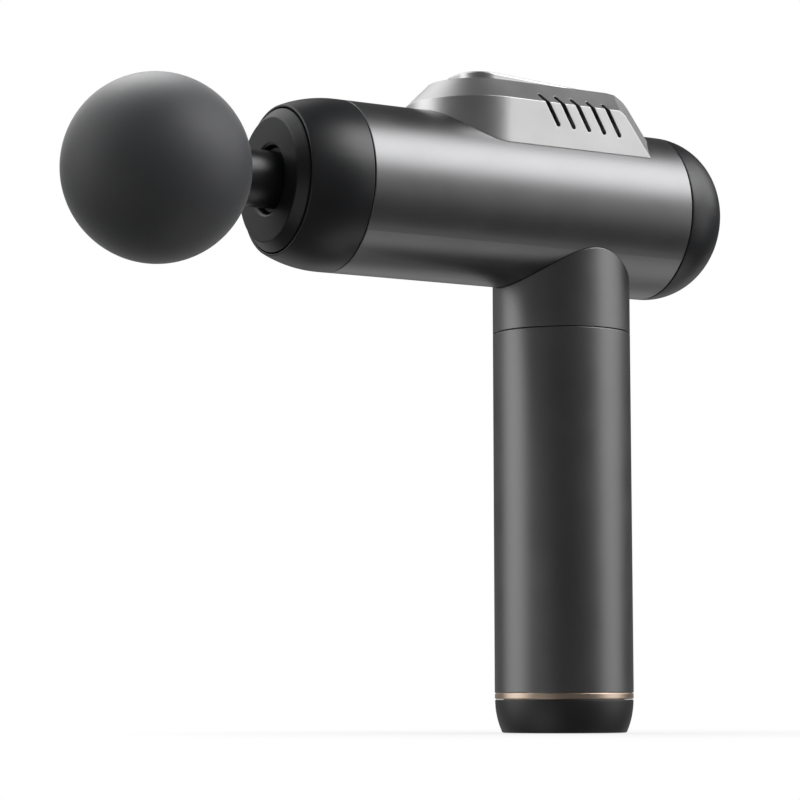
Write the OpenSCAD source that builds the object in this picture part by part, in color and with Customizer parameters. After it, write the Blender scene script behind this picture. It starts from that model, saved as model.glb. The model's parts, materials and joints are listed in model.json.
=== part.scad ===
// Cordless percussion massager: barrel on top of a round battery handle, ball head at the front.
// Origin: centre of the flat base under the handle. +Z runs up the handle, the head points to -X.

/* [Handle] */
// Height of the barrel's axis above the base
axis_h = 179; // [174:1:190]
// Outer diameter of the handle
handle_d = 47; // [46.6:0.2:50]
// Height of the tapered cap under the handle
base_h = 11.2; // [11:0.2:12]
// Height of the metal accent ring above the base cap
accent_h = 2.2; // [1.6:0.2:3]
// Distance from the barrel's axis down to the seam under the collar
collar_drop = 43.4; // [42:0.2:46]

/* [Barrel] */
// Outer diameter of the barrel
barrel_d = 57; // [56.6:0.2:58]
// Wall of the barrel tube
barrel_wall = 2; // [1.8:0.1:2.1]
// Distance from the handle's axis forward to the front seam
front_seam = 89.5; // [88:0.5:92]
// Distance from the handle's axis forward to the flat nose face
nose_face = 113.8; // [113:0.2:114.6]
// Distance from the handle's axis back to the rear seam
rear_seam = 35.5; // [34:0.5:36.5]
// Radius of the rounded rear end
rear_round = 23; // [20:1:25]

/* [Head] */
// Diameter of the ball
ball_d = 61; // [50:1:62]
// Distance from the handle's axis forward to the ball's centre
ball_x = 153.5; // [153:0.5:160]
// Diameter of the visible neck
neck_d = 18.8; // [17:0.2:19.4]

/* [Stroke] */
// Full travel of the plunger, twice the crank's throw
stroke = 10; // [8:1:10]

/* [Control pod] */
// Width of the pod across its flat sides
pod_w = 47; // [46:0.5:49]
// Height of the pod's top above the barrel's axis
pod_top = 39; // [38:0.5:41]
// Size of the pod's broad chamfer
pod_chamfer = 7.6; // [6:0.2:8]
// Number of vent slots in each side
vent_count = 5; // [3:1:6]
// Travel of each push button
button_travel = 0.6; // [0.4:0.1:0.8]

/* [Hidden] */

$fn = 96;
eps = 0.05;
seam = 0.15;          // half of the fine gap left at a visible seam
running = 0.05;       // radial clearance of a shaft turning or sliding in a bore

barrel_r = barrel_d / 2;
bore_r = barrel_r - barrel_wall;
handle_r = handle_d / 2;
sleeve_wall = 1.6;
handle_bore_r = handle_r - sleeve_wall;
collar_z = axis_h - collar_drop;
accent_z = base_h;
sleeve_z = accent_z + accent_h;
base_curve_r = 27;            // radius of the arc that draws the base cap in towards its foot
base_edge = 1;
base_screw_ring = 13;

// nose: the cap's round shoulder, then a stepped ring with the plunger's hole
shoulder_start = 3;           // straight part of the cap in front of the seam
shoulder_r = 44;              // radius of the shoulder's arc
cap_len = 20.9;
cap_wall = 2.2;
cap_mouth_r = 23.9;
ring_r = 23.55;
ring_face_r = 20.4;
ring_chamfer = 3.1;
nose_hole_r = 11.2;
spigot = 6;                   // how far a cap's spigot reaches into the barrel

// crank train
throw = stroke / 2;
rod_z = axis_h;
rod_thick = 6.4;
rod_gap = 0.3;                // axial gap at the open pivot between crank pin and rod
wrist_x = -46;
crank_x = -throw;
rod_len = crank_x - wrist_x;
pin_r = 2.5;
bearing_r = 6.5;
wheel_top = axis_h - 6.2;
wheel_h = 4;
wheel_r = 11.5;
pin_depth = 0.45;             // how far the crank pin is let into the wheel

// motor, standing in the collar under the crank wheel
motor_r = 19.4;
motor_base_z = 151.2;
bell_h = 14.5;
bell_z = motor_base_z + 2;
bell_wall = 1.6;
plate_h = 2.5;
motor_screw_ring = 9;

// plunger
plunger_r = 10.6;
plunger_front = -111.6;
plunger_rear = -40;
socket_r = 7.5;
socket_len = 26;
neck_r = neck_d / 2;
bushing_r = 14.5;
bushing_x = [-98, -70];
hub_x = [-102, -72];          // hub of the front bulkhead, which holds seal and bushing

// pod
pod_half = pod_w / 2;
pod_nose_x = -35;             // centre of the pod's half-round front, seen from above
pod_wall = 1.9;
rear_slope = 0.753;           // run over rise of the pod's sloping rear end
vent_pitch = 6.2;
vent_w = 1.6;
vent_l = 11.2;
vent_lean = 30;               // slots lean back from vertical by this angle
vent_start = [-16.1, 24.1];   // lower end of the front slot: along the barrel, above the axis
vent_step = 0.3;              // each slot sits this much lower than the one before
opening_x = [-42, 6];         // opening through barrel and pod floor for the wires
opening_half = 14;

// control panel, a thin wedge on top of the pod
panel_x = [-42.4, 8];
panel_half = 11.6;
panel_tilt = 3.3;             // fall towards the rear, in degrees
panel_front_top = 42.8;       // top of the wedge at its front end, above the axis

// battery: two layers of three cells
cell_d = 18.2;
cell_len = 65;
cell_gap = 0.35;
cell_ring = (cell_d + cell_gap) / sqrt(3);
cells_z = 14.6;
layers = 2;
layer_pitch = cell_len + 0.4;

black_satin = [0.07, 0.07, 0.075];
gunmetal = [0.30, 0.30, 0.31];
dark_grey = [0.16, 0.16, 0.17];
steel = [0.70, 0.71, 0.73];
bronze = [0.62, 0.45, 0.25];
rose_gold = [0.80, 0.63, 0.50];
board_green = [0.05, 0.25, 0.15];
copper = [0.72, 0.40, 0.20];

// ---- placing helpers ----

// local +Z runs back along the barrel from x
module rearward(x) {
  translate([x, 0, axis_h]) rotate([0, 90, 0]) children();
}

// local +Z runs forward along the barrel from x
module forward(x) {
  translate([x, 0, axis_h]) rotate([0, -90, 0]) children();
}

module tube(outer, inner, h) {
  difference() {
    cylinder(r = outer, h = h);
    translate([0, 0, -eps]) cylinder(r = inner, h = h + 2 * eps);
  }
}

module around(count, radius, start = 0) {
  for (i = [0:count - 1]) rotate([0, 0, start + i * 360 / count]) translate([radius, 0, 0]) children();
}

// cap screw standing on local Z: shank down, head up, hex socket in the head
module cap_screw(shank_r, shank_l, head_r, head_h) {
  difference() {
    union() {
      translate([0, 0, -shank_l]) cylinder(r = shank_r, h = shank_l + eps);
      cylinder(r = head_r, h = head_h);
    }
    translate([0, 0, head_h * 0.45]) cylinder(r = head_r * 0.5, h = head_h, $fn = 6);
  }
}

// ---- barrel and its two caps ----

// opening through the top of the barrel and the pod's floor
module wire_opening() {
  translate([opening_x[0], -opening_half, axis_h])
    cube([opening_x[1] - opening_x[0], 2 * opening_half, barrel_r + 3]);
}

module barrel_shell() {
  color(gunmetal) difference() {
    rearward(-front_seam + seam) tube(barrel_r, bore_r, front_seam + rear_seam - 2 * seam);
    translate([0, 0, axis_h - barrel_r - 5]) cylinder(r = handle_bore_r, h = barrel_r);
    wire_opening();
    for (x = pod_screw_x) translate([x, 0, axis_h]) cylinder(r = 1.3, h = barrel_r + 5);
  }
}

module cap_spigot() {
  translate([0, 0, -spigot]) tube(bore_r - 0.05, bore_r - 1.8, spigot + 1);
}

// half-section of the front cap: x is the radius, y runs forward from the front seam
module front_cap_section(inset) {
  intersection() {
    square([barrel_r - inset, cap_len]);
    union() {
      square([barrel_r - inset, shoulder_start]);
      translate([barrel_r - shoulder_r, shoulder_start]) circle(r = shoulder_r - inset);
    }
  }
}

module front_cap() {
  color(black_satin) forward(-front_seam) {
    translate([0, 0, seam]) rotate_extrude() difference() {
      front_cap_section(0);
      translate([0, -eps]) front_cap_section(cap_wall);
      translate([0, -eps]) square([cap_mouth_r, cap_len + 1]);
    }
    cap_spigot();
    // inner land that the nose ring seats on
    translate([0, 0, 13.6]) tube(25.6, 21, 2.4);
  }
}

module nose_ring() {
  ring_back = nose_face - front_seam - 16;
  color(dark_grey) forward(-nose_face) translate([0, 0, -ring_back]) difference() {
    union() {
      cylinder(r = ring_r, h = ring_back - ring_chamfer);
      translate([0, 0, ring_back - ring_chamfer]) cylinder(r1 = ring_r, r2 = ring_face_r, h = ring_chamfer);
    }
    translate([0, 0, -eps]) cylinder(r = nose_hole_r, h = ring_back + 1);
    translate([0, 0, ring_back - 0.7]) cylinder(r1 = nose_hole_r, r2 = nose_hole_r + 0.8, h = 0.75);
  }
}

module dust_seal() {
  color(black_satin) rearward(hub_x[0] + 0.3) tube(bushing_r - 0.05, plunger_r + running, 3.4);
}

module rear_cap_section(inset) {
  depth = rear_round - inset;
  flat = barrel_r - rear_round;
  translate([flat, 0]) intersection() {
    circle(r = depth);
    square([depth, depth]);
  }
  square([flat + eps, depth]);
}

module rear_cap() {
  color(black_satin) rearward(rear_seam) {
    translate([0, 0, seam]) rotate_extrude() difference() {
      rear_cap_section(0);
      translate([0, -eps]) rear_cap_section(cap_wall);
    }
    cap_spigot();
  }
}

// ---- frame that carries the mechanism ----

chassis_r = 25.2;
bulkhead_x = [-82.5, -77];
bulkhead_screw_angles = [45, 135, 225, 315];
bulkhead_screw_ring = 21.5;

module plunger_bushing() {
  color(bronze) rearward(bushing_x[0]) tube(bushing_r, plunger_r + running, bushing_x[1] - bushing_x[0]);
}

module front_bulkhead() {
  color(dark_grey) difference() {
    union() {
      rearward(bulkhead_x[0]) cylinder(r = chassis_r, h = bulkhead_x[1] - bulkhead_x[0]);
      rearward(hub_x[0]) cylinder(r = bushing_r + 3, h = hub_x[1] - hub_x[0]);
    }
    rearward(-120) cylinder(r = bushing_r, h = 60);
    rearward(-120) for (a = bulkhead_screw_angles)
      rotate([0, 0, a]) translate([bulkhead_screw_ring, 0, 0]) cylinder(r = 1.6, h = 60);
  }
}

module bulkhead_screws() {
  color(steel) forward(bulkhead_x[0]) for (a = bulkhead_screw_angles)
    rotate([0, 0, a]) translate([bulkhead_screw_ring, 0, 0]) cap_screw(1.45, 12, 2.6, 2.4);
}

module chassis_cradle() {
  color(dark_grey) difference() {
    union() {
      rearward(bulkhead_x[1]) tube(chassis_r, chassis_r - 2.2, rear_seam - spigot - 1 - bulkhead_x[1]);
      rearward(bulkhead_x[1]) for (a = bulkhead_screw_angles)
        rotate([0, 0, a]) translate([bulkhead_screw_ring, 0, 0]) cylinder(r = 3, h = 14);
    }
    translate([-120, -40, axis_h + 8]) cube([240, 80, 40]);
    translate([0, 0, axis_h - 50]) cylinder(r = handle_bore_r + 0.1, h = 60);
    rearward(bulkhead_x[1] - 1) for (a = bulkhead_screw_angles)
      rotate([0, 0, a]) translate([bulkhead_screw_ring, 0, 0]) cylinder(r = 1.5, h = 10);
  }
}

module damping_rings() {
  color(black_satin) for (x = [-73, -40, 22]) rearward(x) difference() {
    tube(bore_r - running, chassis_r + running, 6);
    // each ring is open at the top, under the pod
    translate([-60, -30, -1]) cube([48, 60, 8]);
  }
}

// ---- motor ----

// holes that the battery leads pass through
module lead_holes() {
  for (a = lead_angles) rotate([0, 0, a]) translate([lead_r, 0, motor_base_z - 10]) cylinder(r = 1.2, h = 20);
}

module motor_mount() {
  color(steel) difference() {
    translate([0, 0, motor_base_z - plate_h]) cylinder(r = handle_bore_r - 0.1, h = plate_h);
    translate([0, 0, motor_base_z - 10]) cylinder(r = 5.2, h = 20);
    translate([0, 0, motor_base_z - 10]) around(4, motor_screw_ring, 45) cylinder(r = 1.6, h = 20);
    lead_holes();
  }
}

module motor_mount_screws() {
  color(steel) translate([0, 0, motor_base_z - plate_h]) around(4, motor_screw_ring, 45)
    rotate([180, 0, 0]) cap_screw(1.45, plate_h + 1.6, 2.5, 2.2);
}

// fixed base of the motor, with the bearing tube that the coils sit on
module motor_stator() {
  color(steel) translate([0, 0, motor_base_z]) difference() {
    union() {
      cylinder(r = 12.5, h = 1.8);
      cylinder(r = 5.2, h = 13.4);
    }
    translate([0, 0, -eps]) cylinder(r = 4, h = 20);
    translate([0, 0, -eps]) around(4, motor_screw_ring, 45) cylinder(r = 1.45, h = 5);
  }
}

module stator_coils() {
  teeth = 9;
  color(copper) translate([0, 0, motor_base_z + 3.2]) {
    tube(8, 5.2, 9);
    around(teeth, 11) translate([-4, -1.9, 0.6]) cube([6.6, 3.8, 7.8]);
    around(teeth, 14) translate([-0.6, -3.2, 0.2]) cube([1.8, 6.4, 8.6]);
  }
}

module motor_bearings() {
  color(steel) for (z = [motor_base_z + 0.4, motor_base_z + 10.2])
    translate([0, 0, z]) tube(4, pin_r + running, 3);
}

module motor_bell() {
  color(gunmetal) translate([0, 0, bell_z]) difference() {
    cylinder(r = motor_r, h = bell_h);
    translate([0, 0, -eps]) cylinder(r = motor_r - bell_wall, h = bell_h - 2.4 + eps);
    translate([0, 0, -eps]) cylinder(r = pin_r, h = bell_h + 1);
    translate([0, 0, bell_h - 4]) around(6, 12) cylinder(r = 2.6, h = 8);
  }
}

module rotor_magnets() {
  count = 12;
  color(steel) translate([0, 0, bell_z + 1.4]) around(count, motor_r - bell_wall - 1.0, 15)
    translate([-0.75, -3.2, 0]) cube([1.4, 6.4, 10]);
}

module motor_shaft() {
  color(steel) translate([0, 0, motor_base_z + 0.2])
    cylinder(r = pin_r, h = wheel_top - 0.8 - motor_base_z);
}

module crank_wheel() {
  color(steel) difference() {
    translate([0, 0, wheel_top - wheel_h]) cylinder(r = wheel_r, h = wheel_h);
    translate([0, 0, wheel_top - 20]) cylinder(r = pin_r, h = 19.5);
    translate([crank_x, 0, wheel_top - pin_depth]) cylinder(r = pin_r, h = 10);
    translate([2, 0, wheel_top - wheel_h / 2]) rotate([0, 90, 0]) cylinder(r = 1, h = 20);
  }
}

module counterweight() {
  color(bronze) difference() {
    translate([0, 0, wheel_top - wheel_h]) tube(15.4, wheel_r, wheel_h - 0.2);
    translate([-40, -20, wheel_top - 20]) cube([42, 40, 30]);
    translate([2, 0, wheel_top - wheel_h / 2]) rotate([0, 90, 0]) cylinder(r = 1.1, h = 20);
  }
}

module crank_pin() {
  color(steel) translate([crank_x, 0, wheel_top - pin_depth])
    cylinder(r = pin_r, h = rod_z - rod_thick / 2 - rod_gap - wheel_top + pin_depth);
}

module crank_grub_screw() {
  color(steel) translate([pin_r + 0.2, 0, wheel_top - wheel_h / 2]) rotate([0, 90, 0]) difference() {
    cylinder(r = 0.95, h = 11);
    translate([0, 0, 10]) cylinder(r = 0.5, h = 3, $fn = 6);
  }
}

// ---- connecting rod ----

module connecting_rod() {
  big_r = bearing_r + 2.2;
  small_r = 6;
  color(steel) translate([0, 0, rod_z - rod_thick / 2]) difference() {
    union() {
      translate([crank_x, 0, 0]) cylinder(r = big_r, h = rod_thick);
      translate([wrist_x, 0, 0]) cylinder(r = small_r, h = rod_thick);
      translate([wrist_x, -3.4, 0.9]) cube([rod_len, 6.8, rod_thick - 1.8]);
    }
    translate([crank_x, 0, -eps]) cylinder(r = bearing_r, h = rod_thick + 1);
    translate([wrist_x, 0, -eps]) cylinder(r = 4, h = rod_thick + 1);
    // shallow lightening pocket in each face of the shank
    for (z = [-eps, rod_thick - 1.9]) translate([wrist_x + 10, -1.6, z]) cube([rod_len - 23, 3.2, 1.95]);
  }
}

module big_end_bearing() {
  balls = 8;
  race_r = (bearing_r + pin_r) / 2;
  ball_r = 0.95;
  color(steel) translate([crank_x, 0, rod_z - 2.4]) {
    tube(bearing_r, race_r + ball_r - 0.1, 4.8);
    tube(race_r - ball_r + 0.1, pin_r, 4.8);
    translate([0, 0, 2.4]) around(balls, race_r) sphere(r = ball_r - 0.15);
  }
}

// upper half of the crank pin, left in the bearing above the open pivot
module crank_bolt() {
  color(steel) translate([crank_x, 0, rod_z - rod_thick / 2]) {
    cylinder(r = pin_r, h = rod_thick);
    translate([0, 0, rod_thick - 0.6]) difference() {
      cylinder(r = 3.6, h = 2.4);
      translate([0, 0, 1]) cylinder(r = 1.6, h = 4, $fn = 6);
    }
  }
}

module small_end_bush() {
  color(bronze) translate([wrist_x, 0, rod_z - rod_thick / 2]) tube(4, pin_r + running, rod_thick);
}

// ---- plunger ----

module plunger() {
  fork_gap = rod_thick + 0.6;
  color(steel) difference() {
    rearward(plunger_front) cylinder(r = plunger_r, h = plunger_rear - plunger_front);
    // socket for the head's stem, with its groove for the retaining ring
    rearward(plunger_front - eps) cylinder(r = socket_r, h = socket_len);
    rearward(plunger_front + 17.8) cylinder(r = socket_r + 1.2, h = 2.4);
    rearward(plunger_front - eps) cylinder(r1 = socket_r + 0.9, r2 = socket_r, h = 0.9);
    // slot of the rear fork, which the rod swings in
    translate([wrist_x - 8, -plunger_r - 1, axis_h - fork_gap / 2]) cube([30, 2 * plunger_r + 2, fork_gap]);
    translate([wrist_x, 0, axis_h - 20]) cylinder(r = pin_r, h = 40);
    rearward(-82) cylinder(r = 5.5, h = 60);
  }
}

module wrist_pin() {
  half = 9.2;
  color(steel) translate([wrist_x, 0, axis_h - half]) cylinder(r = pin_r, h = 2 * half);
}

module socket_retaining_ring() {
  color(black_satin) rearward(plunger_front + 17.9) tube(socket_r + 1.15, socket_r - 0.05, 2.2);
}

// ---- ball head ----

core_r = 17;
stem_r = socket_r - 0.1;
stem_l = 24;
ring_x = [8, 14];             // places of the O-rings behind the plunger's face

module ball_head() {
  color(dark_grey) difference() {
    translate([-ball_x, 0, axis_h]) sphere(d = ball_d);
    translate([-ball_x, 0, axis_h]) sphere(r = core_r + 0.05);
    rearward(-ball_x) cylinder(r = neck_r + 0.05, h = ball_d);
  }
}

module head_core() {
  color(black_satin) difference() {
    union() {
      translate([-ball_x, 0, axis_h]) sphere(r = core_r);
      rearward(-ball_x) cylinder(r = neck_r, h = ball_x + plunger_front - 0.3);
      rearward(plunger_front - 1) cylinder(r = stem_r, h = stem_l + 1);
    }
    for (x = ring_x) rearward(plunger_front + x - 1.1) tube(stem_r + 1, stem_r - 1.9, 2.2);
    rearward(plunger_front + 17.7) tube(stem_r + 1, stem_r - 0.35, 2.6);
    rearward(plunger_front + 2) cylinder(r = 3.6, h = stem_l + 2);
  }
}

module stem_o_rings() {
  color(black_satin) for (x = ring_x) rearward(plunger_front + x)
    rotate_extrude() translate([stem_r - 0.9, 0]) circle(r = 0.95);
}

// ---- control pod ----

pod_screw_x = [-50, 13];
pod_floor = 1.6;              // saddle floor that seats on the barrel
boss_r = 3.6;

// side view: places of the slanted rear edges, measured as x + rear_slope * height
side_edge_k = 33.9;
rear_face_k = 43.4;
rear_angle = atan(rear_slope);
pod_corner_r = 6;             // rounding of each side's upper rear corner
corner_cuts = 5;

// half of the pod's cross-section: half width by height above the axis
module pod_half_section(inset) {
  half = pod_half - inset;
  top = pod_top - inset;
  cut = pod_chamfer - 0.586 * inset;
  polygon([[0, 0], [half, 0], [half, top - cut], [half - cut, top], [0, top]]);
}

// body with a broad chamfer along both sides and round the front
module pod_long_body(inset) {
  translate([pod_nose_x, 0, axis_h]) {
    rotate_extrude() pod_half_section(inset);
    rotate([90, 0, 90]) linear_extrude(height = 80) {
      pod_half_section(inset);
      mirror([1, 0]) pod_half_section(inset);
    }
  }
}

// prism along the rear slope: flat rear face with a broad chamfer to each side
module pod_rear_prism(inset) {
  half = pod_half - inset;
  cut = pod_chamfer - 0.586 * inset;
  side_edge = side_edge_k * cos(rear_angle) - 0.586 * inset;
  face = rear_face_k * cos(rear_angle) - inset;
  translate([0, 0, axis_h]) rotate([0, -rear_angle, 0]) translate([0, 0, -100])
    linear_extrude(height = 200) polygon([
      [-120, -half], [side_edge, -half], [face, cut - half],
      [face, half - cut], [side_edge, half], [-120, half]
    ]);
}

// side outline that eases the edge between the top and the rear face
module pod_top_ease(inset) {
  top = pod_top - inset;
  translate([-inset, 80, axis_h]) rotate([90, 0, 0]) linear_extrude(height = 160) polygon([
    [-90, 0], [60, 0], [60, top - 20], [17.6, top - 4.2],
    [15.4, top - 2.1], [12.4, top - 0.7], [8.6, top], [-90, top]
  ]);
}

// takes the upper rear corner of each side off in small steps, leaning in as the chamfers do
module pod_corner_cuts(inset) {
  up = pod_top - pod_chamfer - pod_corner_r;
  back = side_edge_k - pod_corner_r / cos(rear_angle) - up * rear_slope;
  step = (90 - rear_angle) / (corner_cuts + 1);
  for (side = [-1, 1], i = [1:corner_cuts])
    translate([back, side * pod_half, axis_h + up])
      rotate([0, -rear_angle - i * step, 0]) rotate([0, 0, side * 45])
        translate([pod_corner_r * cos(45) - inset, -40, -40]) cube([20, 80, 80]);
}

module pod_form(inset) {
  difference() {
    intersection() {
      pod_long_body(inset);
      pod_rear_prism(inset);
      pod_top_ease(inset);
    }
    pod_corner_cuts(inset);
  }
}

// one slanted slot outline, seen from the side
module vent_slot() {
  r = vent_w / 2;
  rotate([0, 0, 90 + vent_lean]) {
    translate([0, -r]) square([vent_l, vent_w]);
    circle(r = r, $fn = 24);
    translate([vent_l, 0]) circle(r = r, $fn = 24);
  }
}

// rounded rectangle of the panel, larger by grow all round
module panel_plan(grow) {
  x0 = panel_x[0] - grow;
  x1 = panel_x[1] + grow;
  half = panel_half + grow;
  front_r = 9 + grow;
  rear_r = 4 + grow;
  translate([x0 + front_r, -half]) square([x1 - rear_r - x0 - front_r, 2 * half]);
  translate([x0, front_r - half]) square([front_r + 1, 2 * (half - front_r)]);
  translate([x1 - rear_r - 1, rear_r - half]) square([rear_r + 1, 2 * (half - rear_r)]);
  for (s = [-1, 1]) {
    translate([x0 + front_r, s * (half - front_r)]) circle(r = front_r);
    translate([x1 - rear_r, s * (half - rear_r)]) circle(r = rear_r);
  }
}

// local frame on the panel's tilted top face, at x along the barrel
module on_panel(x, y = 0) {
  drop = (x - panel_x[0]) * tan(panel_tilt);
  translate([x, y, axis_h + panel_front_top - drop]) rotate([0, panel_tilt, 0]) children();
}

button_x = [-34.5, -24, -13.5];
button_r = 4.1;
button_clearance = 0.08;
display_x = -0.5;
display_len = 13;
display_w = 17;
board_z = axis_h + 31;
board_t = 1.6;
switch_h = 2.3;
switch_top = board_z + board_t + switch_h;

module control_pod() {
  color(gunmetal) difference() {
    pod_form(0);
    // hollow above the saddle floor, with a boss left standing for each screw
    difference() {
      pod_form(pod_wall);
      rearward(-100) cylinder(r = barrel_r + pod_floor, h = 200);
      for (x = pod_screw_x) translate([x, 0, axis_h]) cylinder(r = boss_r, h = barrel_r + 3);
    }
    rearward(-100) cylinder(r = barrel_r, h = 200);
    wire_opening();
    for (i = [0:vent_count - 1])
      translate([vent_start[0] + i * vent_pitch, 60, axis_h + vent_start[1] - i * vent_step])
        rotate([90, 0, 0]) linear_extrude(height = 120) vent_slot();
    translate([0, 0, axis_h + pod_top - 5]) linear_extrude(height = 10) panel_plan(-2.2);
    for (x = pod_screw_x) translate([x, 0, axis_h]) cylinder(r = 1.3, h = barrel_r + 3 + eps);
  }
}

// screws up into the pod's bosses, with their heads inside the barrel
module pod_screws() {
  color(steel) for (x = pod_screw_x) translate([x, 0, axis_h + bore_r - 0.2])
    rotate([180, 0, 0]) cap_screw(1.25, 5, 2.6, 1.6);
}

module control_panel() {
  skirt = 3;
  color(gunmetal) difference() {
    union() {
      translate([0, 0, axis_h + pod_top]) linear_extrude(height = 10) panel_plan(0);
      translate([0, 0, axis_h + pod_top - skirt]) linear_extrude(height = skirt + eps) panel_plan(-2.3);
    }
    // the tilted top
    on_panel(panel_x[0]) translate([-40, -40, 0]) cube([160, 80, 30]);
    translate([0, 0, axis_h + pod_top - skirt - eps]) linear_extrude(height = skirt - 0.4) panel_plan(-3.8);
    for (x = button_x) on_panel(x) translate([0, 0, -12]) cylinder(r = button_r + button_clearance, h = 20);
    on_panel(display_x) translate([-display_len / 2, -display_w / 2, -1]) cube([display_len, display_w, 5]);
  }
}

module display_window() {
  color(black_satin) difference() {
    on_panel(display_x) translate([-display_len / 2 + 0.1, -display_w / 2 + 0.1, -1])
      cube([display_len - 0.2, display_w - 0.2, 0.95]);
    light_bars();
  }
}

// cap with a stem that reaches down to just above its switch
module push_button(x) {
  drop = (x - panel_x[0]) * tan(panel_tilt);
  stem = panel_front_top - drop - (switch_top - axis_h) - button_travel - 0.15;
  on_panel(x) {
    translate([0, 0, -1.8]) cylinder(r = button_r, h = 1.8 + button_travel);
    translate([0, 0, -stem]) cylinder(r = 1.5, h = stem - 1);
  }
}

module power_button() { color(black_satin) push_button(button_x[1]); }

module plus_button() { color(black_satin) push_button(button_x[0]); }

module minus_button() { color(black_satin) push_button(button_x[2]); }

module light_bars() {
  for (i = [-2:2]) on_panel(display_x, i * 2.6) translate([-1.2, -0.7, -0.35]) cube([2.4, 1.4, 0.4]);
}

module level_lights() { color("white") light_bars(); }

module main_board() {
  color(board_green) difference() {
    translate([-42, -15.5, board_z]) cube([51, 31, board_t]);
    for (s = [-1, 1]) translate([-2, s * 14, board_z - 1]) cylinder(r = 1.1, h = 5);
  }
}

module tact_switches() {
  color(dark_grey) for (x = button_x) translate([x, 0, board_z + board_t]) {
    translate([-2.6, -2.6, 0]) cube([5.2, 5.2, 1.6]);
    translate([0, 0, 1.5]) cylinder(r = 1.2, h = switch_h - 1.5);
  }
}

module board_chips() {
  color(black_satin) translate([0, 0, board_z + board_t]) {
    translate([-4, -3.5, 0]) cube([7, 7, 1.1]);
    translate([-40, 6, 0]) cube([5, 6, 1.1]);
    for (i = [0:2]) translate([-30 + i * 8, 8, 0]) cube([5, 6, 1.4]);
    for (i = [0:1]) translate([-34 + i * 10, -11, 0]) cylinder(r = 2.4, h = 3.4);
  }
}

// ---- handle ----

module handle_collar() {
  color(gunmetal) difference() {
    translate([0, 0, collar_z + seam]) cylinder(r = handle_r, h = collar_drop);
    difference() {
      translate([0, 0, collar_z - 1]) cylinder(r = handle_bore_r, h = collar_drop + 2);
      // ledge that carries the motor plate
      translate([0, 0, motor_base_z - plate_h - 2]) tube(handle_r, handle_bore_r - 1.7, 2);
    }
    lead_holes();
    rearward(-60) cylinder(r = barrel_r + seam, h = 120);
    translate([-40, -40, axis_h - 12]) cube([80, 80, 60]);
  }
}

module handle_sleeve() {
  color(gunmetal) difference() {
    union() {
      translate([0, 0, sleeve_z]) cylinder(r = handle_r, h = collar_z - sleeve_z - seam);
      // spigot inside the collar
      translate([0, 0, collar_z - 8]) cylinder(r = handle_bore_r - running, h = 12);
    }
    translate([0, 0, sleeve_z - 1]) cylinder(r = handle_bore_r - 1.2, h = 160);
  }
}

module accent_ring() {
  color(rose_gold) translate([0, 0, accent_z]) difference() {
    union() {
      translate([0, 0, 0.3]) cylinder(r = handle_r - 0.05, h = accent_h - 0.6);
      cylinder(r = handle_r - 0.35, h = accent_h);
    }
    translate([0, 0, -1]) cylinder(r = handle_r - 3, h = accent_h + 2);
  }
}

port_l = 9.2;
port_h = 3.4;
port_y = 4.8;                 // the port sits beside the centre of the base
power_board_z = 8.6;

module port_outline(grow) {
  half = (port_l - port_h) / 2;
  r = port_h / 2 + grow;
  for (s = [-1, 1]) translate([s * half, 0]) circle(r = r);
  translate([-half, -r]) square([2 * half, 2 * r]);
}

// half-section of the base cap: drawn in by a long arc, with a small rounded foot edge
module base_cap_section() {
  r = handle_r - 0.1;
  intersection() {
    square([r, base_h - 0.1]);
    translate([r - base_curve_r, base_h]) circle(r = base_curve_r);
  }
}

module base_cap() {
  foot_r = handle_r - 0.1 - base_curve_r + sqrt(pow(base_curve_r, 2) - pow(base_h - base_edge, 2));
  color(black_satin) difference() {
    union() {
      rotate_extrude() difference() {
        base_cap_section();
        // rounded lower edge
        translate([foot_r - base_edge, -eps]) difference() {
          square([5, base_edge + eps]);
          translate([0, base_edge + eps]) circle(r = base_edge);
        }
      }
      // spigot up into the sleeve
      translate([0, 0, base_h - 1]) cylinder(r = handle_r - 3.1, h = accent_h + 1.2);
    }
    translate([0, 0, 3]) cylinder(r = handle_r - 5.4, h = 30);
    // notch for the sense lead
    translate([sense_r - 0.2, 0, power_board_z]) cylinder(r = 1.2, h = 20);
    // recess for the rubber foot
    translate([0, 0, -1]) tube(17.2, 8.8, 1.8);
    translate([0, port_y, -1]) linear_extrude(height = 10) port_outline(0.6);
    translate([0, 0, -1]) around(4, base_screw_ring, 45) cylinder(r = 1.5, h = 10);
    translate([0, 0, -1]) around(4, base_screw_ring, 45) cylinder(r = 2.6, h = 2.4);
  }
}

module base_foot() {
  color(dark_grey) difference() {
    tube(17.1, 8.9, 0.75);
    translate([0, 0, -1]) around(4, base_screw_ring, 45) cylinder(r = 2.5, h = 4);
  }
}

module base_screws() {
  color(steel) translate([0, 0, 1.35]) around(4, base_screw_ring, 45)
    rotate([180, 0, 0]) cap_screw(1.35, 8, 2.4, 1.2);
}

module charge_port() {
  color(steel) translate([0, port_y, 0.6]) difference() {
    linear_extrude(height = power_board_z - 0.6) port_outline(0.45);
    translate([0, 0, -1]) linear_extrude(height = power_board_z - 1.4) port_outline(0);
  }
}

module charge_tongue() {
  color(black_satin) translate([-3.2, port_y - 0.35, 1.4]) cube([6.4, 0.7, 5.4]);
}

// ---- battery ----

module battery_cells() {
  color([0.10, 0.32, 0.55]) for (k = [0:layers - 1]) translate([0, 0, cells_z + k * layer_pitch])
    around(3, cell_ring, 60) {
      cylinder(d = cell_d, h = cell_len - 1.2);
      translate([0, 0, cell_len - 1.2 - eps]) cylinder(r = 3, h = 1.2 + eps);
    }
}

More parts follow.
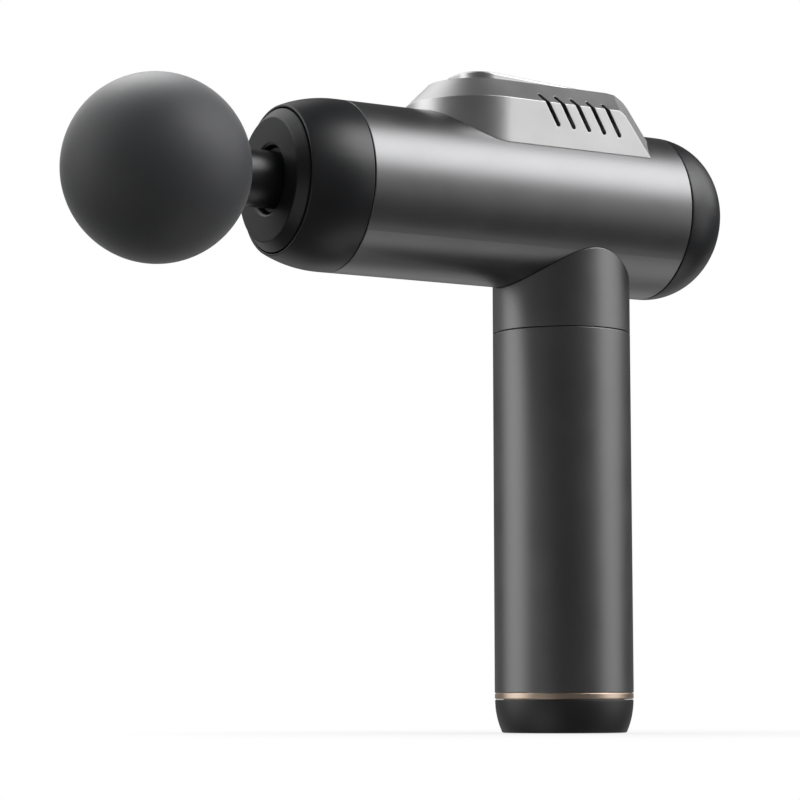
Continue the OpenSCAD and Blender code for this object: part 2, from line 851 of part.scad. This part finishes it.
module cell_holders() {
  r = handle_bore_r - 1.3;
  top_z = cells_z + layer_pitch;
  color(dark_grey) for (z = [cells_z + 2, top_z - 6, top_z + 4, top_z + layer_pitch - 8])
    translate([0, 0, z]) difference() {
      cylinder(r = r, h = 3);
      translate([0, 0, -1]) around(3, cell_ring, 60) cylinder(d = cell_d + 0.1, h = 6);
      translate([0, 0, -1]) around(3, r - 1.2, 0) cylinder(r = 1.5, h = 6);
    }
}

module cell_links() {
  color(steel) for (z = [cells_z - 0.3, cells_z + 2 * layer_pitch - 0.38]) translate([0, 0, z]) {
    around(3, cell_ring, 60) cylinder(r = 4, h = 0.25);
    difference() {
      tube(cell_ring + 2, cell_ring - 2, 0.25);
      translate([0, -30, -1]) cube([40, 60, 3]);
    }
  }
}

module battery_board() {
  color(board_green) translate([0, 0, power_board_z]) difference() {
    cylinder(r = 17.4, h = 1.4);
    translate([0, 0, -1]) around(4, base_screw_ring, 45) cylinder(r = 2.75, h = 4);
  }
}

// disc under the pack, on four posts that the base screws run up into
module pack_base() {
  z = 12.2;
  color(dark_grey) difference() {
    union() {
      translate([0, 0, z]) cylinder(r = 17.9, h = 2);
      translate([0, 0, 3]) around(4, base_screw_ring, 45) cylinder(r = 2.6, h = z - 3 + eps);
    }
    translate([0, 0, z - 1]) cylinder(r = 7, h = 4);
    translate([0, 0, 2]) around(4, base_screw_ring, 45) cylinder(r = 1.35, h = 7.5);
  }
}

// ---- wires ----

wire_r = 0.8;
lead_r = 20.5;                // wires climb between the motor and the collar
lead_angles = [237, 243];
turn_z = axis_h + 8;          // where a wire leaves the wall for the board
entry_z = axis_h + 23;
leads_z = 146.2;              // top of the pack, where the leads start
sense_r = 18.9;
sense_z = power_board_z + 2.35;

// straight run between two points
module wire_run(from, to) {
  d = to - from;
  l = norm(d);
  translate(from) rotate([0, acos(d[2] / l), atan2(d[1], d[0])]) cylinder(r = wire_r, h = l, $fn = 32);
}

module wire_bead(at) { translate(at) sphere(r = wire_r + 0.12, $fn = 32); }

// wire from a foot up the wall, over to the opening and up to the board
module riser(foot, inner) {
  turn = [foot[0], foot[1], turn_z];
  entry = [inner[0], inner[1], entry_z];
  wire_run(foot, turn);
  wire_bead(turn);
  wire_run(turn, entry);
  wire_bead(entry);
  wire_run(entry, [inner[0], inner[1], board_z]);
}

module battery_wires() {
  color("firebrick") {
    // sense lead down the side of the pack to the battery board
    wire_run([sense_r, 0, sense_z], [sense_r, 0, leads_z]);
    wire_bead([sense_r, 0, sense_z]);
    wire_run([sense_r, 0, sense_z], [sense_r - 3, 0, sense_z]);
    // power leads from the top of the pack to the main board
    for (a = lead_angles) {
      foot = [lead_r * cos(a), lead_r * sin(a), leads_z];
      wire_run([13 * cos(a), 13 * sin(a), leads_z], foot);
      wire_bead(foot);
      riser(foot, [-11 + (a - 240) * 0.4, -9, 0]);
    }
  }
}

module motor_wires() {
  color("gold") for (x = [-2.4, 0, 2.4]) riser([x, lead_r, motor_base_z + 0.9], [x, 9, 0]);
}

// ---- one line per node ----

barrel_shell();
front_cap();
nose_ring();
dust_seal();
rear_cap();
plunger_bushing();
front_bulkhead();
bulkhead_screws();
chassis_cradle();
damping_rings();
motor_mount();
motor_mount_screws();
motor_stator();
stator_coils();
motor_bearings();
motor_bell();
rotor_magnets();
motor_shaft();
crank_wheel();
counterweight();
crank_pin();
crank_grub_screw();
connecting_rod();
big_end_bearing();
crank_bolt();
small_end_bush();
plunger();
wrist_pin();
socket_retaining_ring();
ball_head();
head_core();
stem_o_rings();
control_pod();
control_panel();
display_window();
power_button();
plus_button();
minus_button();
level_lights();
main_board();
tact_switches();
board_chips();
pod_screws();
handle_collar();
handle_sleeve();
accent_ring();
base_cap();
base_foot();
base_screws();
charge_port();
charge_tongue();
battery_cells();
cell_holders();
cell_links();
battery_board();
pack_base();
battery_wires();
motor_wires();
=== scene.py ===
"""Massage gun: looks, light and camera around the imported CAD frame. Metres, row frame."""
import json
import math

import bmesh
import bpy
from mathutils import Matrix, Vector

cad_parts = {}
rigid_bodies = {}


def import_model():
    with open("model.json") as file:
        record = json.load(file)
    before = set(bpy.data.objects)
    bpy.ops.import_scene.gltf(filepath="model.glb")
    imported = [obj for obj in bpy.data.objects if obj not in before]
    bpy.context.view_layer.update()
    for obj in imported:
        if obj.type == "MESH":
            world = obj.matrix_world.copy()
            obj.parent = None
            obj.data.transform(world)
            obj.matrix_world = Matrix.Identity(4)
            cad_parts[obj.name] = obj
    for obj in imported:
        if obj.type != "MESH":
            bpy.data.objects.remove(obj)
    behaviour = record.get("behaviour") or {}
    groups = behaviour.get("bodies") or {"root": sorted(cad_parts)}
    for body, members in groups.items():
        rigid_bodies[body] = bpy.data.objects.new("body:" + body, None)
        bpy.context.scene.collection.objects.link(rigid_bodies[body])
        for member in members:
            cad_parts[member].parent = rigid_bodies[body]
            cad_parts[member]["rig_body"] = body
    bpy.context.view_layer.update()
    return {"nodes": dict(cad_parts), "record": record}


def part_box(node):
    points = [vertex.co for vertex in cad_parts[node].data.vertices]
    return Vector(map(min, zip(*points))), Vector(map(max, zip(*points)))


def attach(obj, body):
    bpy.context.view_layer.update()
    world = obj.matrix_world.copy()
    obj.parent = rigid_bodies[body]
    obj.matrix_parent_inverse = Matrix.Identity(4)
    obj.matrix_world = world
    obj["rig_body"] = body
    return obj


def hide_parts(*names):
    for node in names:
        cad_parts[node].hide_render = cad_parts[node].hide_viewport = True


MM = 0.001
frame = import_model()
NODES = frame["nodes"]
RECORD = frame["record"]


# ---- materials ----


class Shader:
    """A Principled material under construction, with short helpers for its nodes."""

    def __init__(self, name):
        self.material = bpy.data.materials.new(name)
        self.material.use_nodes = True
        self.tree = self.material.node_tree
        self.bsdf = self.tree.nodes["Principled BSDF"]
        self.place = self.add("ShaderNodeTexCoord").outputs["Object"]

    def add(self, kind, **values):
        node = self.tree.nodes.new(kind)
        for key, value in values.items():
            if key in node.inputs:
                node.inputs[key].default_value = value
            else:
                setattr(node, key, value)
        return node

    def link(self, out, to):
        self.tree.links.new(out, to)

    def set(self, **values):
        for key, value in values.items():
            self.bsdf.inputs[key.replace("_", " ")].default_value = value

    def noise(self, size_mm, detail=3.0, stretch=(1, 1, 1)):
        """Noise whose features are about size_mm across, longer along an axis where stretch is above 1."""
        scale = self.add("ShaderNodeMapping")
        scale.inputs["Scale"].default_value = [1 / s for s in stretch]
        texture = self.add("ShaderNodeTexNoise", Scale=1 / (size_mm * MM), Detail=detail)
        self.link(self.place, scale.inputs["Vector"])
        self.link(scale.outputs["Vector"], texture.inputs["Vector"])
        return texture.outputs["Fac"]

    def spread(self, value, low, high):
        """Maps a 0..1 value to low..high, with most of the contrast kept around the middle."""
        ramp = self.add("ShaderNodeMapRange")
        ramp.inputs["From Min"].default_value = 0.3
        ramp.inputs["From Max"].default_value = 0.7
        ramp.inputs["To Min"].default_value = low
        ramp.inputs["To Max"].default_value = high
        self.link(value, ramp.inputs["Value"])
        return ramp.outputs["Result"]

    def mix(self, factor, a, b):
        """Colour a where factor is 0 and b where it is 1. a and b are colours or sockets."""
        node = self.add("ShaderNodeMix", data_type="RGBA")
        self.link(factor, node.inputs["Factor"])
        for source, socket in ((a, node.inputs[6]), (b, node.inputs[7])):
            if isinstance(source, bpy.types.NodeSocket):
                self.link(source, socket)
            else:
                socket.default_value = (*source, 1)
        return node.outputs[2]

    def bump(self, height, depth_mm, strength=1.0, normal=None):
        node = self.add("ShaderNodeBump", Strength=strength, Distance=depth_mm * MM)
        self.link(height, node.inputs["Height"])
        if normal:
            self.link(normal, node.inputs["Normal"])
        return node.outputs["Normal"]

    def rounded(self, radius_mm):
        """The surface direction with sharp edges turned into radii."""
        bevel = self.add("ShaderNodeBevel", Radius=radius_mm * MM)
        bevel.samples = 6
        return bevel.outputs["Normal"]

    def edge(self, rounded):
        """1 on sharp edges, falling to 0 where the rounded direction meets the flat one."""
        face = self.add("ShaderNodeNewGeometry")
        dot = self.add("ShaderNodeVectorMath", operation="DOT_PRODUCT")
        self.link(rounded, dot.inputs[0])
        self.link(face.outputs["Normal"], dot.inputs[1])
        ramp = self.add("ShaderNodeMapRange")
        ramp.inputs["From Min"].default_value = 1.0
        ramp.inputs["From Max"].default_value = 0.8
        self.link(dot.outputs["Value"], ramp.inputs["Value"])
        return ramp.outputs["Result"]


def scaled(colour, factor):
    return tuple(c * factor for c in colour)


EDGE_R_MM = 0.3
MOTTLE_MM = 14
GRAIN_ROUGHNESS = 0.035
MOTTLE_ROUGHNESS = 0.02


def finish(name, colour, metallic, roughness, grain_mm, depth_mm, shade, wear_and_highlight, stretch=(1, 1, 1)):
    """A surface with fine grain, faint broad mottling in colour and gloss, and sharp edges painted
    lighter, partly as rubbed wear and partly as a painted highlight along the edges.
    """
    s = Shader(name)
    broad = s.noise(MOTTLE_MM, detail=4)
    fine = s.noise(grain_mm, detail=2, stretch=stretch)
    base = s.mix(s.spread(broad, 0, 1), scaled(colour, 1 - shade), scaled(colour, 1 + shade))
    rounded = s.rounded(EDGE_R_MM)
    # Sharp edges are lightened here: partly rubbed wear, partly a painted highlight line along the edges.
    worn_and_highlit = s.mix(s.edge(rounded), base, scaled(colour, wear_and_highlight))
    s.link(worn_and_highlit, s.bsdf.inputs["Base Color"])
    speckle = s.spread(fine, roughness - GRAIN_ROUGHNESS, roughness + GRAIN_ROUGHNESS)
    smear = s.spread(broad, -MOTTLE_ROUGHNESS, MOTTLE_ROUGHNESS)
    total = s.add("ShaderNodeMath", operation="ADD")
    s.link(speckle, total.inputs[0])
    s.link(smear, total.inputs[1])
    s.link(total.outputs[0], s.bsdf.inputs["Roughness"])
    s.link(s.bump(fine, depth_mm, 0.6, rounded), s.bsdf.inputs["Normal"])
    s.set(Metallic=metallic)
    return s


def anodised(name, colour, roughness, wear_and_highlight=1.6):
    """Bead-blasted, anodised aluminium."""
    return finish(name, colour, 1.0, roughness, 0.22, 0.006, shade=0.03, wear_and_highlight=wear_and_highlight).material


def moulded(name, colour, roughness=0.4, grain_mm=0.35, depth_mm=0.01, gloss=0.5):
    """Spark-textured moulded plastic."""
    s = finish(name, colour, 0.0, roughness, grain_mm, depth_mm, shade=0.08, wear_and_highlight=1.8)
    s.set(Specular_IOR_Level=gloss)
    return s.material


def machined(name, colour, roughness=0.28):
    """Turned or ground metal with long fine tool marks."""
    marks = (1, 1, 14)
    return finish(name, colour, 1.0, roughness, 0.12, 0.008, shade=0.05, wear_and_highlight=1.2, stretch=marks).material


def rubbery(name, colour, roughness=0.7):
    """Soft rubber or wire insulation."""
    s = finish(name, colour, 0.0, roughness, 0.5, 0.02, shade=0.1, wear_and_highlight=1.15)
    s.set(Sheen_Weight=0.15, Sheen_Roughness=0.5)
    return s.material


def glossy(name, colour, roughness=0.08):
    """Smooth lacquered or clear-coated plastic."""
    s = finish(name, colour, 0.0, roughness, 1.5, 0.002, shade=0.05, wear_and_highlight=1.1)
    s.set(Coat_Weight=0.6, Coat_Roughness=0.04)
    return s.material


def circuit(name, mask, track):
    """Solder mask over a pattern of straight copper tracks."""
    s = Shader(name)
    cells = s.add("ShaderNodeTexVoronoi", Scale=1 / (2.2 * MM), distance="CHEBYCHEV")
    s.link(s.place, cells.inputs["Vector"])
    lines = s.spread(cells.outputs["Distance"], 0, 1)
    s.link(s.mix(lines, track, mask), s.bsdf.inputs["Base Color"])
    s.link(s.bump(lines, 0.03, 0.5), s.bsdf.inputs["Normal"])
    s.set(Roughness=0.3)
    return s.material


def foam(name, colour):
    """Closed-cell foam with a fine matt skin and a soft sheen."""
    s = Shader(name)
    skin = s.noise(0.45, detail=4)
    pores = s.add("ShaderNodeTexVoronoi", Scale=1 / (0.7 * MM))
    s.link(s.place, pores.inputs["Vector"])
    cloud = s.spread(s.noise(18, detail=3), 0, 1)
    s.link(s.mix(cloud, scaled(colour, 0.95), scaled(colour, 1.05)), s.bsdf.inputs["Base Color"])
    s.link(s.spread(skin, 0.52, 0.62), s.bsdf.inputs["Roughness"])
    dimples = s.bump(pores.outputs["Distance"], 0.02, 0.35)
    s.link(s.bump(skin, 0.025, 0.5, dimples), s.bsdf.inputs["Normal"])
    s.set(Sheen_Weight=0.4, Sheen_Roughness=0.35, Specular_IOR_Level=0.7)
    return s.material


MATERIALS = {
    "barrel_metal": anodised("barrel_metal", (0.26, 0.26, 0.265), 0.36),
    "handle_metal": anodised("handle_metal", (0.25, 0.25, 0.255), 0.38),
    "pod_metal": anodised("pod_metal", (0.77, 0.77, 0.77), 0.36, wear_and_highlight=1.0),
    "satin_black": moulded("satin_black", (0.013, 0.014, 0.017), 0.38, 0.25, 0.006, gloss=0.8),
    "matt_black": moulded("matt_black", (0.014, 0.014, 0.015), 0.45, gloss=0.9),
    "nose_grey": moulded("nose_grey", (0.013, 0.014, 0.016), 0.34, 0.3, 0.006, gloss=0.6),
    "ball_foam": foam("ball_foam", (0.068, 0.070, 0.075)),
    "core_black": moulded("core_black", (0.022, 0.022, 0.024), 0.36, 0.25, 0.006, gloss=0.9),
    "accent": machined("accent", (0.85, 0.68, 0.55), 0.32),
    "rubber_black": rubbery("rubber_black", (0.02, 0.02, 0.02)),
    "bearing_bronze": machined("bearing_bronze", (0.50, 0.32, 0.14), 0.35),
    "bushing_polymer": moulded("bushing_polymer", (0.60, 0.56, 0.44), 0.5),
    "frame_plastic": moulded("frame_plastic", (0.035, 0.035, 0.038), 0.55, 0.5, 0.02),
    "steel": machined("steel", (0.55, 0.56, 0.58)),
    "motor_alloy": anodised("motor_alloy", (0.45, 0.46, 0.48), 0.45),
    "plunger_black": anodised("plunger_black", (0.03, 0.03, 0.032), 0.3),
    "copper_coils": machined("copper_coils", (0.62, 0.26, 0.10), 0.32),
    "magnet_metal": machined("magnet_metal", (0.42, 0.42, 0.44), 0.3),
    "gloss_black": glossy("gloss_black", (0.006, 0.006, 0.008)),
    "button_black": moulded("button_black", (0.022, 0.022, 0.024), 0.42, 0.3, 0.006),
    "light_white": glossy("light_white", (0.75, 0.78, 0.82), 0.3),
    "board_green": circuit("board_green", (0.01, 0.10, 0.045), (0.02, 0.17, 0.07)),
    "chip_black": moulded("chip_black", (0.015, 0.015, 0.016), 0.4),
    "cell_wrap": glossy("cell_wrap", (0.02, 0.10, 0.26), 0.25),
    "wire_red": rubbery("wire_red", (0.35, 0.02, 0.015), 0.45),
    "wire_yellow": rubbery("wire_yellow", (0.60, 0.38, 0.03), 0.45),
}


def dress_frame():
    """Every carried-over CAD node gets the material of its slot."""
    for part in RECORD["subparts"]:
        node = NODES[part["node"]]
        for holder in node.material_slots:
            holder.link = "OBJECT"
            holder.material = MATERIALS[part["material_slot"]]


# ---- pieces made here ----

WELD = 0.002 * MM
FLAT_ANGLE = math.radians(0.5)
SMOOTH_ANGLE = math.radians(28)


def piece(name, shape, material, body, node):
    """A finished mesh that rides on a body in place of a CAD node."""
    bmesh.ops.recalc_face_normals(shape, faces=shape.faces)
    data = bpy.data.meshes.new(name)
    shape.to_mesh(data)
    shape.free()
    data.materials.append(MATERIALS[material])
    data.shade_smooth()
    data.set_sharp_from_angle(angle=SMOOTH_ANGLE)
    item = bpy.data.objects.new(name, data)
    bpy.context.scene.collection.objects.link(item)
    keep = item.modifiers.new("normals", "WEIGHTED_NORMAL")
    keep.keep_sharp = True
    keep.weight = 100
    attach(item, body)
    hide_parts(node)


def spaced(start, end, steps):
    """Evenly spaced values from start to end, both included."""
    return [start + (end - start) * i / steps for i in range(steps + 1)]


def lathe(profile, centre, steps):
    """Closed solid turned about the barrel's direction, from points of (radius, distance forward)."""
    shape = bmesh.new()
    rings = []
    for radius, forward in profile:
        count = steps if radius > WELD else 1
        ring = []
        for i in range(count):
            turn = 2 * math.pi * i / steps
            offset = Vector((-forward, radius * math.cos(turn), radius * math.sin(turn)))
            ring.append(shape.verts.new(centre + offset))
        rings.append(ring)
    for a, b in zip(rings, rings[1:]):
        for i in range(steps):
            j = i + 1
            corners = [a[i % len(a)], a[j % len(a)], b[j % len(b)], b[i % len(b)]]
            shape.faces.new(list(dict.fromkeys(corners)))
    return shape


NECK_HOLE_R = 9.45 * MM
CORE_GAP = 0.05 * MM
LIP_R = 0.9 * MM
BALL_STEPS = 72
LIP_STEPS = 9
CAVITY_STEPS = 24
ROUND_STEPS = 128


def ball():
    """Foam ball: a sphere that rolls over a small lip into the hole round its neck."""
    low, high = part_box("ball_head")
    radius = (high.z - low.z) / 2
    centre = Vector((low.x + radius, 0, high.z - radius))
    core_low, core_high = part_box("head_core")
    inner = (core_high.z - core_low.z) / 2 + CORE_GAP
    lip_r = NECK_HOLE_R + LIP_R
    lip_back = math.sqrt((radius - LIP_R) ** 2 - lip_r**2)
    lip_turn = math.atan2(lip_r, lip_back)
    hole_turn = math.asin(NECK_HOLE_R / inner)
    outside = spaced(0, math.pi - lip_turn, BALL_STEPS)
    profile = [(radius * math.sin(a), radius * math.cos(a)) for a in outside]
    for a in spaced(lip_turn, -math.pi / 2, LIP_STEPS)[1:]:
        profile.append((lip_r + LIP_R * math.sin(a), -lip_back - LIP_R * math.cos(a)))
    cavity = spaced(hole_turn, math.pi, CAVITY_STEPS)
    profile += [(inner * math.sin(a), -inner * math.cos(a)) for a in cavity]
    profile[0] = (0, radius)
    profile[-1] = (0, inner)
    piece("foam_ball", lathe(profile, centre, ROUND_STEPS), "ball_foam", "head", "ball_head")


def eased(name, node, width_mm, steps, turn, where):
    """The node's own shape with outward edges rounded.

    turn is the range, in degrees, of the angle at an edge that is rounded. where says, from an edge's
    middle, whether it counts.
    """
    shape = bmesh.new()
    shape.from_mesh(NODES[node].data)
    bmesh.ops.remove_doubles(shape, verts=shape.verts, dist=WELD)
    bmesh.ops.dissolve_limit(shape, angle_limit=FLAT_ANGLE, verts=shape.verts, edges=shape.edges)
    low, high = (math.radians(a) for a in turn)
    edges = []
    for edge in shape.edges:
        middle = (edge.verts[0].co + edge.verts[1].co) / 2
        if edge.is_convex and low < edge.calc_face_angle(0) < high and where(middle):
            edges.append(edge)
    bmesh.ops.bevel(
        shape,
        geom=edges,
        offset=width_mm * MM,
        offset_type="OFFSET",
        segments=steps,
        profile=0.5,
        affect="EDGES",
        clamp_overlap=False,
        loop_slide=True,
    )
    slot = next(part["material_slot"] for part in RECORD["subparts"] if part["node"] == node)
    piece(name, shape, slot, NODES[node]["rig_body"], node)


# Edges farther inside the panel than these margins are those of its button holes and display recess.
PANEL_FRONT = 4 * MM
PANEL_REAR = 1.5 * MM
PANEL_HALF_WIDTH = 9.2 * MM
PANEL_SKIRT = 0.7 * MM


def cases():
    """Outer shells with their visible edges broken, as machining and moulding leave them."""
    panel_low, panel_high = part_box("control_panel")
    pod_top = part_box("control_pod")[1].z
    cap_low, cap_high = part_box("rear_cap")
    axis = (cap_low.z + cap_high.z) / 2

    def panel_rim(at):
        """Points round the panel's top, and not on its button holes or its display recess."""
        between = panel_low.x + PANEL_FRONT < at.x < panel_high.x - PANEL_REAR
        inside = between and abs(at.y) < PANEL_HALF_WIDTH
        return at.z > pod_top + PANEL_SKIRT and not inside

    def outside(radius_mm):
        """Points farther from the barrel's axis than the radius."""
        return lambda at: math.hypot(at.y, at.z - axis) > radius_mm * MM

    def round_handle(radius_mm):
        """Points farther from the handle's axis than the radius."""
        return lambda at: math.hypot(at.x, at.y) > radius_mm * MM

    eased("panel_case", "control_panel", width_mm=0.6, steps=3, turn=(30, 120), where=panel_rim)
    eased("nose_ring_case", "nose_ring", width_mm=0.3, steps=2, turn=(20, 100), where=outside(10))
    eased("front_cap_case", "front_cap", width_mm=0.3, steps=2, turn=(60, 100), where=outside(22))
    eased("rear_cap_case", "rear_cap", width_mm=0.3, steps=2, turn=(60, 100), where=outside(28))
    eased("barrel_case", "barrel_shell", width_mm=0.3, steps=2, turn=(60, 100), where=outside(28))
    eased("sleeve_case", "handle_sleeve", width_mm=0.25, steps=2, turn=(60, 100), where=round_handle(23))
    eased("base_cap_case", "base_cap", width_mm=0.25, steps=2, turn=(50, 100), where=round_handle(21))


# ---- light, floor and camera ----

PHOTO_PLACE = Vector((-0.5215, -0.7836, 0.0108))
PHOTO_HEADING = math.radians(-30.27)
PHOTO_TILT = math.radians(6.22)
PHOTO_ROLL = math.radians(-0.10)
PHOTO_LENS = 124.2


def camera():
    """The camera at the photo's place and angle."""
    data = bpy.data.cameras.new("photo_camera")
    data.lens = PHOTO_LENS
    data.sensor_width = 36
    data.clip_start = 0.02
    item = bpy.data.objects.new("photo_camera", data)
    turn = Matrix.Rotation(PHOTO_HEADING, 4, "Z") @ Matrix.Rotation(math.pi / 2 + PHOTO_TILT, 4, "X")
    item.matrix_world = Matrix.Translation(PHOTO_PLACE) @ turn @ Matrix.Rotation(PHOTO_ROLL, 4, "Z")
    bpy.context.scene.collection.objects.link(item)
    bpy.context.scene.camera = item


AMBIENT = 0.07
# Each soft light of the studio: direction towards it, half-angle in degrees where it ends, strength.
SOFT_LIGHTS = [
    ((0.50, -0.55, 0.67), 30, 3.6),
    ((0.82, -0.58, 0.11), 30, 0.85),
    ((-0.85, 0.53, 0.11), 34, 0.9),
    ((0.50, -0.08, -0.86), 28, 0.65),
    ((0.86, -0.08, 0.50), 24, 1.8),
    ((-0.65, 0.35, 0.67), 42, 1.0),
    ((-0.10, 0.78, 0.62), 34, 0.9),
    ((-0.85, -0.25, -0.45), 34, 0.4),
    ((0.10, 0.88, -0.45), 36, 0.35),
    ((0.75, 0.60, -0.40), 30, 0.4),
]
CORE_ANGLE = 3


def world():
    """Pale backdrop for the camera, a dim studio with large soft lights for everything else."""
    sky = bpy.data.worlds.new("studio")
    bpy.context.scene.world = sky
    sky.use_nodes = True
    tree = sky.node_tree
    tree.nodes.clear()

    def add(kind, **inputs):
        node = tree.nodes.new(kind)
        for key, value in inputs.items():
            node.inputs[key.replace("_", " ")].default_value = value
        return node

    look = add("ShaderNodeTexCoord").outputs["Generated"]
    total = add("ShaderNodeValue").outputs[0]
    total.default_value = AMBIENT
    for direction, outer, strength in SOFT_LIGHTS:
        facing = add("ShaderNodeVectorMath")
        facing.operation = "DOT_PRODUCT"
        facing.inputs[1].default_value = Vector(direction).normalized()
        tree.links.new(look, facing.inputs[0])
        glow = add(
            "ShaderNodeMapRange",
            From_Min=math.cos(math.radians(outer)),
            From_Max=math.cos(math.radians(CORE_ANGLE)),
            To_Max=strength,
        )
        glow.interpolation_type = "SMOOTHSTEP"
        tree.links.new(facing.outputs["Value"], glow.inputs["Value"])
        together = add("ShaderNodeMath")
        together.operation = "ADD"
        tree.links.new(total, together.inputs[0])
        tree.links.new(glow.outputs["Result"], together.inputs[1])
        total = together.outputs["Value"]
    dim = add("ShaderNodeBackground")
    tree.links.new(total, dim.inputs["Strength"])
    pale = add("ShaderNodeBackground", Strength=1.0)
    mix = add("ShaderNodeMixShader")
    path = add("ShaderNodeLightPath")
    out = add("ShaderNodeOutputWorld")
    for node in (dim, pale):
        node.inputs["Color"].default_value = (1, 1, 1, 1)
    tree.links.new(path.outputs["Is Camera Ray"], mix.inputs["Fac"])
    tree.links.new(dim.outputs[0], mix.inputs[1])
    tree.links.new(pale.outputs[0], mix.inputs[2])
    tree.links.new(mix.outputs[0], out.inputs["Surface"])


RIM_OFFSET = Vector((0.01, 0.065, 0.155))
RIM_SIZE = 0.12
RIM_POWER = 0.2


def rim_light():
    """Small soft light above and behind the ball, flagged off everything else."""
    foam_ball = bpy.data.objects["foam_ball"]
    low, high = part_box("ball_head")
    ball_at = (low + high) / 2
    data = bpy.data.lights.new("rim_light", "AREA")
    data.shape = "DISK"
    data.size = RIM_SIZE
    data.energy = RIM_POWER
    item = bpy.data.objects.new("rim_light", data)
    item.location = ball_at + RIM_OFFSET
    item.rotation_euler = RIM_OFFSET.to_track_quat("Z", "Y").to_euler()
    item.visible_camera = False
    bpy.context.scene.collection.objects.link(item)
    lit = bpy.data.collections.new("rim_lit")
    lit.objects.link(foam_ball)
    item.light_linking.receiver_collection = lit


FLOOR_R = 6.0
FLOOR_DROP = 0.0002
FADE_R = 0.16
GLOW_UNDER_OBJECT = 0.75


def floor():
    """Pale round floor that fades into the backdrop away from the object."""
    data = bpy.data.meshes.new("floor")
    shape = bmesh.new()
    bmesh.ops.create_circle(shape, cap_ends=True, segments=96, radius=FLOOR_R)
    shape.to_mesh(data)
    shape.free()
    item = bpy.data.objects.new("floor", data)
    bpy.context.scene.collection.objects.link(item)
    item.location = (0, 0, -FLOOR_DROP)
    s = Shader("floor_paint")
    s.set(Base_Color=(0.9, 0.9, 0.9, 1), Roughness=0.9, Specular_IOR_Level=0.1)
    glow = s.add("ShaderNodeEmission", Color=(1, 1, 1, 1), Strength=1.0)
    reach = s.add("ShaderNodeVectorMath", operation="LENGTH")
    s.link(s.place, reach.inputs[0])
    fade = s.add("ShaderNodeMapRange")
    fade.inputs["From Max"].default_value = FADE_R
    fade.inputs["To Min"].default_value = GLOW_UNDER_OBJECT
    s.link(reach.outputs["Value"], fade.inputs["Value"])
    mix = s.add("ShaderNodeMixShader")
    s.link(fade.outputs["Result"], mix.inputs["Fac"])
    s.link(s.bsdf.outputs[0], mix.inputs[1])
    s.link(glow.outputs[0], mix.inputs[2])
    s.link(mix.outputs[0], s.tree.nodes["Material Output"].inputs["Surface"])
    data.materials.append(s.material)
    item.visible_glossy = False
    item.visible_diffuse = False
    item.visible_shadow = False


dress_frame()
ball()
cases()
camera()
world()
rim_light()
floor()
bpy.context.scene.view_settings.view_transform = "Standard"
